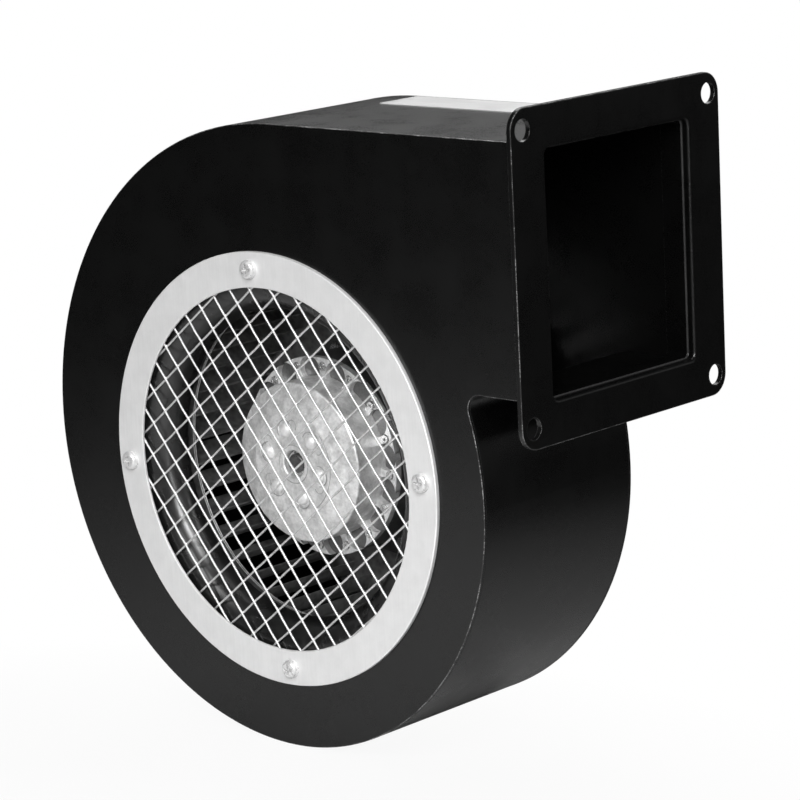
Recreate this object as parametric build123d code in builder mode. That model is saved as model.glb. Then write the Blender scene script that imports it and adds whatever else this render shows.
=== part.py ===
from build123d import *
import os
from math import asin, atan2, cos, degrees, radians, sin, sqrt

# Centrifugal fan with an external-rotor motor inside its wheel. Millimetres, +Z up.
# The origin is the centre of the outlet flange's mating face, and +X is the way the air leaves.
# The fan's axis runs along Y, and the inlet faces -Y. A depth is a distance behind the front
# side plate's outer face, a radius is a distance from the fan's axis, and an angle is counted
# from +X towards +Z.

# Casing
sheet = 1.2
casing_depth = 90.5
axis_to_flange = 148.9
top_height = 141.9
left_reach = 126.4
bottom_reach = 116.5
right_reach = 112.9
duct_floor_rise = 46.3
top_arc_start = 5.9
tongue_arc_radius = 132.2
tongue_fillet = 6.0
plate_edge_radius = 0.5
seat_gap = 0.05

# Outlet flange
flange_thickness = 2.0
flange_margin_side = 17.35
flange_margin_top = 14.8
flange_corner_radius = 8.5
flange_edge_radius = 0.4
bolt_edge_side = 6.7
bolt_edge_top = 8.25
bolt_hole_diameter = 8.5
neck_wall = 0.8
neck_length = 12.0
neck_corner_radius = 2.5
neck_lip_radius = 1.5

# Inlet nozzle and its guard
guard_outer_radius = 90.0
guard_inner_radius = 75.3
guard_sheet = 1.0
guard_rim_height = 1.8
guard_rim_width = 0.8
guard_edge_radius = 0.4
guard_screw_circle_radius = 82.9
guard_screw_count = 4
guard_turn = 3.9
mesh_seat_radius = 79.0
mesh_edge_clearance = 0.6
mesh_wire_diameter = 0.95
mesh_front_pitch = 9.65
mesh_front_turn = 37.7
mesh_front_offset = 0.3
mesh_rear_pitch = 9.78
mesh_rear_turn = 128.7
mesh_rear_offset = 3.85
nozzle_sheet = 1.0
nozzle_flange_radius = 88.5
nozzle_mouth_radius = 76.0
nozzle_curve_radius = 11.5
nozzle_throat_length = 1.5

# Screws and nuts
screw_shank_diameter = 4.0
screw_clearance = 0.2
screw_head_diameter = 7.8
screw_head_height = 2.6
screw_head_crown = 1.4
cross_width = 1.0
cross_length = 4.4
cross_depth = 1.3
guard_screw_length = 10.0
nut_across_flats = 7.0
nut_height = 3.2

# Wheel
blade_count = 40
blade_inner_radius = 67.3
blade_outer_radius = 80.0
blade_margin = 0.5
blade_thickness = 0.8
blade_lead = 5.5
blade_arc_radius = 9.0
wheel_front_depth = 20.0
wheel_back_depth = 76.0
wheel_ring_sheet = 1.0
hub_disc_sheet = 1.2
hub_disc_bore_radius = 36.0
blade_tab_length = 3.2
blade_tab_stand = 0.8

# Rotor
rotor_outer_radius = 41.8
rotor_sheet = 1.2
rotor_flange_radius = 53.0
rotor_lip_inner_radius = 31.5
hub_rivet_count = 8
hub_rivet_radius = 1.6
hub_rivet_head_radius = 3.0
hub_rivet_head_height = 1.2
rivet_taper = 30
cap_wall = 3.0
cap_outer_radius = 33.4
cap_rim_depth = 28.0
cap_rim_thickness = 3.0
cap_shoulder_depth = 15.0
cap_face_radius = 21.7
cap_face_depth = 11.5
cap_edge_radius = 1.0
cap_recess_radius = 5.6
cap_recess_depth = 4.0
cap_boss_radius = 8.5
cap_pin_count = 6
cap_pin_circle_radius = 14.3
cap_pin_radius = 2.1
cap_pin_height = 0.9
cap_pin_turn = 46.0
cap_dimple_circle_radius = 15.6
cap_dimple_radius = 3.6
cap_dimple_depth = 0.5
land_count = 16
land_turn = 17.5
notch_circle_radius = 36.4
notch_radius = 5.6
balance_pocket_count = 2
balance_pocket_turn = 40.0
balance_pocket_radius = 7.0
balance_pocket_depth = 1.5
cap_rivet_circle_radius = 38.3
cap_rivet_radius = 1.2
cap_rivet_head_radius = 2.0
cap_rivet_head_height = 0.6
cap_rivet_bore_radius = 0.7
cap_rivet_bore_depth = 1.4

# Shaft and bearings
shaft_diameter = 8.0
shaft_front_depth = 12.5
shaft_back_depth = 79.0
shaft_edge_radius = 0.6
circlip_thickness = 0.8
circlip_width = 1.3
circlip_groove = 0.3
circlip_opening = 3.0
front_circlip_depth = 13.8
bearing_outer_diameter = 22.0
bearing_width = 7.0
bearing_race_thickness = 2.0
bearing_ball_count = 8
bearing_ball_radius = 2.0
bearing_running_gap = 0.04
front_bearing_depth = 25.5
rear_bearing_depth = 70.0
bearing_shoulder_height = 1.5
spring_thickness = 0.5
spring_height = 1.1
spring_width = 2.2

# Stator, squirrel cage and windings
stack_front_depth = 38.0
stack_length = 30.0
air_gap = 0.4
rotor_core_inner_radius = 29.3
stator_slot_count = 12
stator_slot_inner_radius = 18.0
stator_slot_width = 5.0
stator_slot_opening = 1.8
stator_slot_lip = 1.6
stator_mouth_length = 4.8
winding_overhang = 6.0
winding_edge_radius = 1.5
insulator_thickness = 0.8
cage_bar_count = 24
cage_bar_radius = 2.0
cage_bar_circle_radius = 32.4
cage_ring_inner_radius = 30.2
cage_ring_width = 7.0
cage_ring_thickness = 4.0

# Motor flange, and what is on the rear side plate
tube_wall = 3.0
tube_front_depth = 24.4
motor_flange_radius = 34.0
motor_flange_thickness = 6.0
motor_spigot_radius = 15.0
motor_spigot_clearance = 0.3
bearing_cover_sheet = 1.0
bearing_cover_rim = 3.0
motor_screw_count = 4
motor_screw_circle_radius = 26.0
motor_screw_turn = 45.0
motor_screw_length = 6.5
washer_outer_radius = 4.6
washer_thickness = 0.8
grommet_circle_radius = 62.0
grommet_turn = -60.0
grommet_bore_radius = 3.2
grommet_neck_radius = 5.0
grommet_flange_radius = 8.0
grommet_flange_height = 3.0
grommet_edge_radius = 1.2

# Blank rating plate on top of the casing
label_length = 88.0
label_width = 24.0
label_thickness = 0.4
label_end_gap = 3.1
label_side_gap = 3.3
label_corner_radius = 1.5

# Places of the casing's outline, worked out from the sizes above. The scroll is a chain of four
# arcs that meet where it reaches furthest to the left, to the bottom and to the right. The duct's
# floor lies a set rise above the centre of the last two arcs.
axis_x = -axis_to_flange
front_y = -casing_depth / 2
back_y = casing_depth / 2
flange_back_x = axis_to_flange - flange_thickness
inner_back_depth = casing_depth - sheet
top_arc_radius = left_reach + top_arc_start
top_arc_centre = (top_arc_start, top_height - top_arc_radius)
heel_arc_radius = bottom_reach + top_arc_centre[1]
heel_arc_centre = (heel_arc_radius - left_reach, top_arc_centre[1])
bottom_arc_radius = right_reach - heel_arc_centre[0]
bottom_arc_centre = (heel_arc_centre[0], bottom_arc_radius - bottom_reach)
tongue_arc_centre = (right_reach - tongue_arc_radius, bottom_arc_centre[1])
duct_floor_height = bottom_arc_centre[1] + duct_floor_rise
outlet_height = (top_height + duct_floor_height) / 2
fan_axis = Axis((axis_x, front_y, -outlet_height), (0, 1, 0))
axial_section = Plane(
    origin=(axis_x, front_y, -outlet_height), x_dir=(1, 0, 0), z_dir=(0, 0, 1)
)

# Radii and depths that several pieces share
screw_hole_radius = screw_shank_diameter / 2 + screw_clearance
shaft_radius = shaft_diameter / 2
wheel_ring_back_depth = wheel_front_depth + wheel_ring_sheet
hub_disc_back_depth = wheel_back_depth + hub_disc_sheet
rotor_front_depth = cap_rim_depth + cap_rim_thickness
hub_rivet_circle_radius = (rotor_outer_radius + rotor_flange_radius) / 2
bearing_radius = bearing_outer_diameter / 2
ball_circle_radius = (shaft_radius + bearing_radius) / 2
bearing_depths = (front_bearing_depth, rear_bearing_depth)
rear_circlip_depth = rear_bearing_depth + bearing_width + seat_gap
circlip_inner_radius = shaft_radius - circlip_groove
tube_radius = bearing_radius + tube_wall
motor_flange_depth = inner_back_depth - motor_flange_thickness
stack_back_depth = stack_front_depth + stack_length
stator_radius = rotor_core_inner_radius - air_gap
slot_outer_radius = stator_radius - stator_slot_lip
winding_inner_radius = stator_slot_inner_radius + insulator_thickness
winding_outer_radius = slot_outer_radius - insulator_thickness
winding_bar_width = stator_slot_width - 2 * insulator_thickness


def across(depth):
    """The plane square to the fan's axis at a depth, facing forwards, with its origin on the axis."""
    return Plane(
        origin=(axis_x, front_y + depth, -outlet_height), x_dir=(1, 0, 0), z_dir=(0, -1, 0)
    )


def facing_back(depth):
    """The plane square to the fan's axis at a depth, facing backwards, with its origin on the axis."""
    return Plane(
        origin=(axis_x, front_y + depth, -outlet_height), x_dir=(1, 0, 0), z_dir=(0, 1, 0)
    )


def scroll_outline(inset):
    """Draws the casing's outline as seen from the front, moved inwards by inset."""
    top = top_height - inset
    floor = duct_floor_height + inset
    fillet_radius = tongue_fillet + inset
    scroll_radius = tongue_arc_radius - inset
    rise = floor - fillet_radius - tongue_arc_centre[1]
    fillet_x = tongue_arc_centre[0] + sqrt((scroll_radius + fillet_radius) ** 2 - rise**2)
    meeting_angle = degrees(asin(rise / (scroll_radius + fillet_radius)))
    Line((flange_back_x, top), (top_arc_start, top))
    CenterArc(top_arc_centre, top_arc_radius - inset, 90, 90)
    CenterArc(heel_arc_centre, heel_arc_radius - inset, 180, 90)
    CenterArc(bottom_arc_centre, bottom_arc_radius - inset, 270, 90)
    CenterArc(tongue_arc_centre, scroll_radius, 0, meeting_angle)
    CenterArc((fillet_x, floor - fillet_radius), fillet_radius, 180 + meeting_angle, -90 - meeting_angle)
    Line((fillet_x, floor), (flange_back_x, floor))


def casing_outline():
    """Draws the casing's whole side, filled in."""
    with BuildLine() as outline:
        scroll_outline(0)
        Line((flange_back_x, duct_floor_height), (flange_back_x, top_height))
    make_face(outline.edges())


def ring(depth, inner_radius, outer_radius, thickness, mode=Mode.ADD):
    """Adds a flat ring round the fan's axis, from a depth backwards."""
    with BuildSketch(across(depth)) as profile:
        Circle(outer_radius)
        Circle(inner_radius, mode=Mode.SUBTRACT)
    extrude(profile.sketch, amount=-thickness, mode=mode)


def discs(depth, circle_radius, count, turn, radius, thickness, mode=Mode.ADD):
    """Adds equal discs spaced evenly round the fan's axis, or cuts them out, from a depth backwards."""
    with BuildSketch(across(depth)) as profile:
        with PolarLocations(circle_radius, count, turn):
            Circle(radius)
    extrude(profile.sketch, amount=-thickness, mode=mode)


def rivet_heads(plane, circle_radius, count, turn, radius, height):
    """Adds tapered rivet heads that stand on a plane."""
    with BuildSketch(plane) as profile:
        with PolarLocations(circle_radius, count, turn):
            Circle(radius)
    extrude(profile.sketch, amount=height, taper=rivet_taper)


def turned(*corners):
    """Adds the solid that an outline of (radius, depth) corners makes round the fan's axis."""
    with BuildSketch(axial_section) as profile:
        with BuildLine():
            Polyline(*corners, close=True)
        make_face()
    revolve(profile.sketch, axis=fan_axis)


def wire_layer(depth, turn, pitch, offset):
    """Adds parallel wires whose normal is turned from +X, with every wire that crosses the inlet."""
    mesh_radius = mesh_seat_radius - mesh_edge_clearance
    first = int((guard_inner_radius + offset) // pitch)
    last = int((guard_inner_radius - offset) // pitch)
    layer = across(depth)
    normal = layer.x_dir * cos(radians(turn)) + layer.y_dir * sin(radians(turn))
    along = layer.y_dir * cos(radians(turn)) - layer.x_dir * sin(radians(turn))
    for index in range(-first, last + 1):
        distance = offset + index * pitch
        half_length = sqrt(mesh_radius**2 - distance**2)
        start = layer.origin + normal * distance - along * half_length
        with BuildSketch(Plane(origin=start, z_dir=along)) as section:
            Circle(mesh_wire_diameter / 2)
        extrude(section.sketch, amount=2 * half_length)


def bearing_race(depth, inner_radius, outer_radius):
    """Adds a bearing's race with its ball groove, from a depth backwards."""
    middle_depth = depth + bearing_width / 2
    with BuildSketch(axial_section) as profile:
        with Locations(((inner_radius + outer_radius) / 2, middle_depth)):
            Rectangle(outer_radius - inner_radius, bearing_width)
        with Locations((ball_circle_radius, middle_depth)):
            Circle(bearing_ball_radius + bearing_running_gap, mode=Mode.SUBTRACT)
    revolve(profile.sketch, axis=fan_axis)


def slot_areas(mode=Mode.ADD):
    """Draws the section of the stator's slots."""
    middle_radius = (stator_slot_inner_radius + slot_outer_radius) / 2
    with PolarLocations(middle_radius, stator_slot_count):
        Rectangle(slot_outer_radius - stator_slot_inner_radius, stator_slot_width, mode=mode)


def winding_areas(mode=Mode.ADD):
    """Draws the section of the windings in the slots."""
    middle_radius = (winding_inner_radius + winding_outer_radius) / 2
    with PolarLocations(middle_radius, stator_slot_count):
        Rectangle(winding_outer_radius - winding_inner_radius, winding_bar_width, mode=mode)


os.makedirs("parts", exist_ok=True)

# Casing sheets
with BuildPart() as front_side_plate:
    with BuildSketch(across(0)):
        casing_outline()
        Circle(mesh_seat_radius, mode=Mode.SUBTRACT)
        with PolarLocations(guard_screw_circle_radius, guard_screw_count, guard_turn):
            Circle(screw_hole_radius, mode=Mode.SUBTRACT)
    extrude(amount=-sheet)
    rim = front_side_plate.faces().sort_by(Axis.Y)[0].outer_wire().edges()
    fillet(rim.sort_by(Axis.X)[:-1], plate_edge_radius)

with BuildPart() as scroll_wrapper:
    with BuildSketch(across(sheet)):
        with BuildLine():
            scroll_outline(0)
            scroll_outline(sheet)
            Line((flange_back_x, top_height), (flange_back_x, top_height - sheet))
            Line((flange_back_x, duct_floor_height), (flange_back_x, duct_floor_height + sheet))
        make_face()
    extrude(amount=-(casing_depth - 2 * sheet))

with BuildPart() as rear_side_plate:
    with BuildSketch(across(inner_back_depth)):
        casing_outline()
        Circle(motor_spigot_radius + motor_spigot_clearance, mode=Mode.SUBTRACT)
        with PolarLocations(motor_screw_circle_radius, motor_screw_count, motor_screw_turn):
            Circle(screw_hole_radius, mode=Mode.SUBTRACT)
        with Locations(Vector(grommet_circle_radius, 0).rotate(Axis.Z, grommet_turn)):
            Circle(grommet_neck_radius + seat_gap, mode=Mode.SUBTRACT)
    extrude(amount=-sheet)
    rim = rear_side_plate.faces().sort_by(Axis.Y)[-1].outer_wire().edges()
    fillet(rim.sort_by(Axis.X)[:-1], plate_edge_radius)

# Outlet flange, with a neck that is bent inwards and fits inside the casing's sheets
flange_width = casing_depth + 2 * flange_margin_side
flange_height = top_height - duct_floor_height + 2 * flange_margin_top
neck_width = casing_depth - 2 * (sheet + seat_gap)
neck_height = top_height - duct_floor_height - 2 * (sheet + seat_gap)
with BuildPart() as outlet_flange:
    with BuildSketch(Plane.YZ):
        RectangleRounded(flange_width, flange_height, flange_corner_radius)
        with GridLocations(flange_width - 2 * bolt_edge_side, flange_height - 2 * bolt_edge_top, 2, 2):
            Circle(bolt_hole_diameter / 2, mode=Mode.SUBTRACT)
    extrude(amount=-flange_thickness)
    with BuildSketch(Plane.YZ):
        RectangleRounded(neck_width, neck_height, neck_corner_radius + neck_wall)
    extrude(amount=-(flange_thickness + neck_length))
    with BuildSketch(Plane.YZ):
        RectangleRounded(neck_width - 2 * neck_wall, neck_height - 2 * neck_wall, neck_corner_radius)
    extrude(amount=-(flange_thickness + neck_length), mode=Mode.SUBTRACT)
    face = outlet_flange.faces().sort_by(Axis.X)[-1]
    fillet(face.inner_wires().sort_by(SortBy.LENGTH)[-1].edges(), neck_lip_radius)
    face = outlet_flange.faces().sort_by(Axis.X)[-1]
    fillet(face.outer_wire().edges(), flange_edge_radius)

# Inlet nozzle, clamped behind the front side plate
nozzle_back_radius = nozzle_curve_radius - nozzle_sheet
nozzle_throat_radius = nozzle_mouth_radius - nozzle_curve_radius
nozzle_curve_depth = sheet + nozzle_curve_radius
nozzle_end_depth = nozzle_curve_depth + nozzle_throat_length
with BuildPart() as inlet_nozzle:
    with BuildSketch(axial_section):
        with BuildLine():
            CenterArc((nozzle_mouth_radius, nozzle_curve_depth), nozzle_curve_radius, 180, 90)
            CenterArc((nozzle_mouth_radius, nozzle_curve_depth), nozzle_back_radius, 180, 90)
            Polyline(
                (nozzle_mouth_radius, sheet),
                (nozzle_flange_radius, sheet),
                (nozzle_flange_radius, sheet + nozzle_sheet),
                (nozzle_mouth_radius, sheet + nozzle_sheet),
            )
            Polyline(
                (nozzle_throat_radius, nozzle_curve_depth),
                (nozzle_throat_radius, nozzle_end_depth),
                (nozzle_throat_radius + nozzle_sheet, nozzle_end_depth),
                (nozzle_throat_radius + nozzle_sheet, nozzle_curve_depth),
            )
        make_face()
    revolve(axis=fan_axis)
    discs(
        sheet, guard_screw_circle_radius, guard_screw_count, guard_turn,
        screw_hole_radius, nozzle_sheet, Mode.SUBTRACT,
    )

# Guard ring and the welded mesh that it clamps against the nozzle
guard_back_depth = guard_sheet - guard_rim_height
with BuildPart() as guard_ring:
    with BuildSketch(axial_section) as profile:
        with BuildLine():
            Polyline(
                (guard_inner_radius, -guard_rim_height),
                (guard_outer_radius, -guard_rim_height),
                (guard_outer_radius, 0),
                (guard_outer_radius - guard_rim_width, 0),
                (guard_outer_radius - guard_rim_width, guard_back_depth),
                (guard_inner_radius, guard_back_depth),
                close=True,
            )
        make_face()
        fillet(profile.vertices().group_by(Axis.Y)[0], guard_edge_radius)
    revolve(axis=fan_axis)
    discs(
        -guard_rim_height, guard_screw_circle_radius, guard_screw_count, guard_turn,
        screw_hole_radius, guard_sheet, Mode.SUBTRACT,
    )

mesh_rear_depth = sheet - seat_gap - mesh_wire_diameter / 2
mesh_front_depth = mesh_rear_depth - mesh_wire_diameter
with BuildPart() as guard_mesh_front_wires:
    wire_layer(mesh_front_depth, mesh_front_turn, mesh_front_pitch, mesh_front_offset)

with BuildPart() as guard_mesh_rear_wires:
    wire_layer(mesh_rear_depth, mesh_rear_turn, mesh_rear_pitch, mesh_rear_offset)

# One pan-head screw with a cross recess, standing on its seat
with BuildPart() as pan_screw:
    Cylinder(screw_head_diameter / 2, screw_head_height, align=(Align.CENTER, Align.CENTER, Align.MIN))
    fillet(pan_screw.edges().sort_by(Axis.Z)[-1], screw_head_crown)
    with BuildSketch(Plane.XY.offset(screw_head_height)):
        Rectangle(cross_length, cross_width)
        Rectangle(cross_width, cross_length)
    extrude(amount=-cross_depth, mode=Mode.SUBTRACT)

# Guard screws, which pass the ring, the side plate and the nozzle into their nuts
with BuildPart(across(-guard_rim_height)) as guard_screws:
    with PolarLocations(guard_screw_circle_radius, guard_screw_count, guard_turn):
        add(pan_screw.part)
    discs(
        -guard_rim_height, guard_screw_circle_radius, guard_screw_count, guard_turn,
        screw_shank_diameter / 2, guard_screw_length,
    )

with BuildPart() as guard_nuts:
    with BuildSketch(across(sheet + nozzle_sheet)):
        with PolarLocations(guard_screw_circle_radius, guard_screw_count, guard_turn):
            RegularPolygon(nut_across_flats / 2, 6, major_radius=False)
            Circle(screw_shank_diameter / 2 + seat_gap, mode=Mode.SUBTRACT)
    extrude(amount=-nut_height)

# Blank rating plate
with BuildPart() as rating_plate:
    with BuildSketch(Plane.XY.offset(top_height - outlet_height)):
        with Locations((
            axis_x + top_arc_start + label_end_gap + label_length / 2,
            back_y - label_side_gap - label_width / 2,
        )):
            RectangleRounded(label_length, label_width, label_corner_radius)
    extrude(amount=label_thickness)

# Wheel. A blade is an arc with a tab at each end, crimped in the front ring and the hub disc.
with BuildSketch() as blade_section:
    with BuildLine() as blade_line:
        blade_root = (blade_inner_radius + blade_margin, 0)
        blade_tip = Vector(blade_outer_radius - blade_margin, 0).rotate(Axis.Z, -blade_lead)
        RadiusArc(blade_root, blade_tip, blade_arc_radius)
    trace(line_width=blade_thickness)
tab_middle = blade_line.line @ 0.5
tab_direction = blade_line.line % 0.5
tab_turn = degrees(atan2(tab_direction.Y, tab_direction.X))
with BuildSketch() as tab_section:
    with Locations(tab_middle):
        Rectangle(blade_tab_length, blade_thickness, rotation=tab_turn)
with BuildSketch() as tab_slot:
    with Locations(tab_middle):
        Rectangle(blade_tab_length + 2 * seat_gap, blade_thickness + 2 * seat_gap, rotation=tab_turn)

with BuildPart() as impeller_blades:
    with BuildSketch(across(wheel_ring_back_depth)):
        with PolarLocations(0, blade_count):
            add(blade_section.sketch)
    extrude(amount=-(wheel_back_depth - wheel_ring_back_depth))
    with BuildSketch(across(wheel_front_depth - blade_tab_stand)):
        with PolarLocations(0, blade_count):
            add(tab_section.sketch)
    extrude(amount=-(hub_disc_back_depth - wheel_front_depth + 2 * blade_tab_stand))

with BuildPart() as impeller_front_ring:
    with BuildSketch(across(wheel_front_depth)):
        Circle(blade_outer_radius)
        Circle(blade_inner_radius, mode=Mode.SUBTRACT)
        with PolarLocations(0, blade_count):
            add(tab_slot.sketch, mode=Mode.SUBTRACT)
    extrude(amount=-wheel_ring_sheet)

with BuildPart() as impeller_hub_disc:
    with BuildSketch(across(wheel_back_depth)):
        Circle(blade_outer_radius)
        Circle(hub_disc_bore_radius, mode=Mode.SUBTRACT)
        with PolarLocations(0, blade_count):
            add(tab_slot.sketch, mode=Mode.SUBTRACT)
        with PolarLocations(hub_rivet_circle_radius, hub_rivet_count):
            Circle(hub_rivet_radius + seat_gap, mode=Mode.SUBTRACT)
    extrude(amount=-hub_disc_sheet)

# Rotor shell, with a lip under the end cap and a flange that is riveted to the hub disc
with BuildPart() as rotor_shell:
    turned(
        (rotor_lip_inner_radius, rotor_front_depth),
        (rotor_outer_radius, rotor_front_depth),
        (rotor_outer_radius, wheel_back_depth - rotor_sheet),
        (rotor_flange_radius, wheel_back_depth - rotor_sheet),
        (rotor_flange_radius, wheel_back_depth),
        (rotor_outer_radius - rotor_sheet, wheel_back_depth),
        (rotor_outer_radius - rotor_sheet, rotor_front_depth + rotor_sheet),
        (rotor_lip_inner_radius, rotor_front_depth + rotor_sheet),
    )
    discs(
        wheel_back_depth - rotor_sheet, hub_rivet_circle_radius, hub_rivet_count, 0,
        hub_rivet_radius + seat_gap, rotor_sheet, Mode.SUBTRACT,
    )
    discs(
        rotor_front_depth, cap_rivet_circle_radius, land_count, land_turn,
        cap_rivet_radius + seat_gap, rotor_sheet, Mode.SUBTRACT,
    )

with BuildPart() as hub_rivets:
    discs(
        wheel_back_depth - rotor_sheet, hub_rivet_circle_radius, hub_rivet_count, 0,
        hub_rivet_radius, rotor_sheet + hub_disc_sheet,
    )
    rivet_heads(
        across(wheel_back_depth - rotor_sheet), hub_rivet_circle_radius, hub_rivet_count, 0,
        hub_rivet_head_radius, hub_rivet_head_height,
    )
    rivet_heads(
        facing_back(hub_disc_back_depth), hub_rivet_circle_radius, hub_rivet_count, 0,
        hub_rivet_head_radius, hub_rivet_head_height,
    )

# Cast end cap: a dished bell with a hub, and a rim whose notches leave lands for the rivets
cap_recess_floor = cap_face_depth + cap_recess_depth
cap_boss_back_depth = front_bearing_depth - seat_gap
with BuildPart() as rotor_end_cap:
    ring(cap_rim_depth, cap_outer_radius - cap_wall / 2, rotor_outer_radius, cap_rim_thickness)
    discs(
        cap_rim_depth, notch_circle_radius, land_count, land_turn + 180 / land_count,
        notch_radius, cap_rim_thickness, Mode.SUBTRACT,
    )
    discs(
        cap_rim_depth, cap_rivet_circle_radius, balance_pocket_count, balance_pocket_turn,
        balance_pocket_radius, balance_pocket_depth, Mode.SUBTRACT,
    )
    discs(
        cap_rim_depth, cap_rivet_circle_radius, land_count, land_turn,
        cap_rivet_radius + seat_gap, cap_rim_thickness, Mode.SUBTRACT,
    )
    with BuildSketch(axial_section) as profile:
        with BuildLine():
            Polyline(
                (cap_recess_radius, cap_face_depth),
                (cap_face_radius, cap_face_depth),
                (cap_outer_radius, cap_shoulder_depth),
                (cap_outer_radius, rotor_front_depth),
                (cap_outer_radius - cap_wall, rotor_front_depth),
                (cap_outer_radius - cap_wall, cap_shoulder_depth + cap_wall),
                (cap_face_radius, cap_face_depth + cap_wall),
                (cap_boss_radius, cap_face_depth + cap_wall),
                (cap_boss_radius, cap_boss_back_depth),
                (shaft_radius, cap_boss_back_depth),
                (shaft_radius, cap_recess_floor),
                (cap_recess_radius, cap_recess_floor),
                close=True,
            )
        make_face()
        outer_corners = profile.vertices().filter_by(
            lambda corner: corner.Y <= min(cap_shoulder_depth, cap_recess_floor - seat_gap)
        )
        fillet(outer_corners, cap_edge_radius)
    revolve(axis=fan_axis)
    discs(
        cap_face_depth, cap_dimple_circle_radius, cap_pin_count, cap_pin_turn,
        cap_dimple_radius, cap_dimple_depth, Mode.SUBTRACT,
    )
    discs(
        cap_face_depth - cap_pin_height, cap_pin_circle_radius, cap_pin_count, cap_pin_turn,
        cap_pin_radius, cap_pin_height + cap_dimple_depth,
    )

with BuildPart() as cap_rivets:
    rivet_heads(
        across(cap_rim_depth), cap_rivet_circle_radius, land_count, land_turn,
        cap_rivet_head_radius, cap_rivet_head_height,
    )
    discs(
        cap_rim_depth, cap_rivet_circle_radius, land_count, land_turn,
        cap_rivet_radius, cap_rim_thickness + rotor_sheet,
    )
    rivet_heads(
        facing_back(rotor_front_depth + rotor_sheet), cap_rivet_circle_radius, land_count, -land_turn,
        cap_rivet_head_radius, cap_rivet_head_height,
    )
    discs(
        cap_rim_depth - cap_rivet_head_height, cap_rivet_circle_radius, land_count, land_turn,
        cap_rivet_bore_radius, cap_rivet_bore_depth, Mode.SUBTRACT,
    )

# Rotor core with its squirrel cage
with BuildPart() as rotor_core:
    ring(stack_front_depth, rotor_core_inner_radius, rotor_outer_radius - rotor_sheet, stack_length)
    discs(
        stack_front_depth, cage_bar_circle_radius, cage_bar_count, 0,
        cage_bar_radius, stack_length, Mode.SUBTRACT,
    )

cage_ring_outer_radius = cage_ring_inner_radius + cage_ring_width
with BuildPart() as rotor_cage:
    ring(
        stack_front_depth - cage_ring_thickness,
        cage_ring_inner_radius, cage_ring_outer_radius, cage_ring_thickness,
    )
    ring(stack_back_depth, cage_ring_inner_radius, cage_ring_outer_radius, cage_ring_thickness)
    discs(stack_front_depth, cage_bar_circle_radius, cage_bar_count, 0, cage_bar_radius, stack_length)

# Shaft, its circlips and the bearings
with BuildPart() as shaft:
    with BuildSketch(across(shaft_front_depth)):
        Circle(shaft_radius)
    extrude(amount=-(shaft_back_depth - shaft_front_depth))
    fillet(shaft.edges().filter_by(GeomType.CIRCLE), shaft_edge_radius)
    for depth in (front_circlip_depth, rear_circlip_depth):
        ring(depth, circlip_inner_radius, shaft_radius, circlip_thickness, Mode.SUBTRACT)

with BuildPart() as shaft_circlips:
    for depth in (front_circlip_depth, rear_circlip_depth):
        with BuildSketch(across(depth)):
            Circle(circlip_inner_radius + circlip_width)
            Circle(circlip_inner_radius, mode=Mode.SUBTRACT)
            with Locations((0, circlip_inner_radius + circlip_width / 2)):
                Rectangle(circlip_opening, 2 * circlip_width, mode=Mode.SUBTRACT)
        extrude(amount=-circlip_thickness)

with BuildPart() as bearing_inner_races:
    for depth in bearing_depths:
        bearing_race(depth, shaft_radius, shaft_radius + bearing_race_thickness)

with BuildPart() as bearing_outer_races:
    for depth in bearing_depths:
        bearing_race(depth, bearing_radius - bearing_race_thickness, bearing_radius)

with BuildPart(*[across(depth + bearing_width / 2) for depth in bearing_depths]) as bearing_balls:
    with PolarLocations(ball_circle_radius, bearing_ball_count):
        Sphere(bearing_ball_radius)

# Disc spring that loads the rear bearing against the motor flange's shoulder
spring_front_depth = rear_bearing_depth - spring_height
with BuildPart() as preload_spring:
    turned(
        (bearing_radius - seat_gap, rear_bearing_depth),
        (bearing_radius - seat_gap, rear_bearing_depth - spring_thickness),
        (bearing_radius - spring_width, spring_front_depth),
        (bearing_radius - spring_width, spring_front_depth + spring_thickness),
    )

# Motor flange with its bearing tube, and the cover that closes the tube
shoulder_radius = bearing_radius - bearing_shoulder_height
with BuildPart() as motor_flange:
    turned(
        (bearing_radius, tube_front_depth),
        (tube_radius, tube_front_depth),
        (tube_radius, motor_flange_depth),
        (motor_flange_radius, motor_flange_depth),
        (motor_flange_radius, inner_back_depth),
        (motor_spigot_radius, inner_back_depth),
        (motor_spigot_radius, casing_depth),
        (bearing_radius, casing_depth),
        (bearing_radius, spring_front_depth),
        (shoulder_radius, spring_front_depth),
        (shoulder_radius, front_bearing_depth + bearing_width),
        (bearing_radius, front_bearing_depth + bearing_width),
    )
    discs(
        motor_flange_depth, motor_screw_circle_radius, motor_screw_count, motor_screw_turn,
        screw_shank_diameter / 2 + seat_gap, motor_flange_thickness, Mode.SUBTRACT,
    )

with BuildPart() as bearing_cover:
    turned(
        (0, casing_depth - bearing_cover_sheet),
        (bearing_radius - bearing_cover_sheet, casing_depth - bearing_cover_sheet),
        (bearing_radius - bearing_cover_sheet, casing_depth - bearing_cover_rim),
        (bearing_radius, casing_depth - bearing_cover_rim),
        (bearing_radius, casing_depth),
        (0, casing_depth),
    )

# Stator core, insulators and windings
with BuildPart() as stator_core:
    with BuildSketch(across(stack_front_depth)):
        Circle(stator_radius)
        Circle(tube_radius, mode=Mode.SUBTRACT)
        slot_areas(Mode.SUBTRACT)
        with PolarLocations(stator_radius, stator_slot_count):
            Rectangle(stator_mouth_length, stator_slot_opening, mode=Mode.SUBTRACT)
    extrude(amount=-stack_length)

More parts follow.
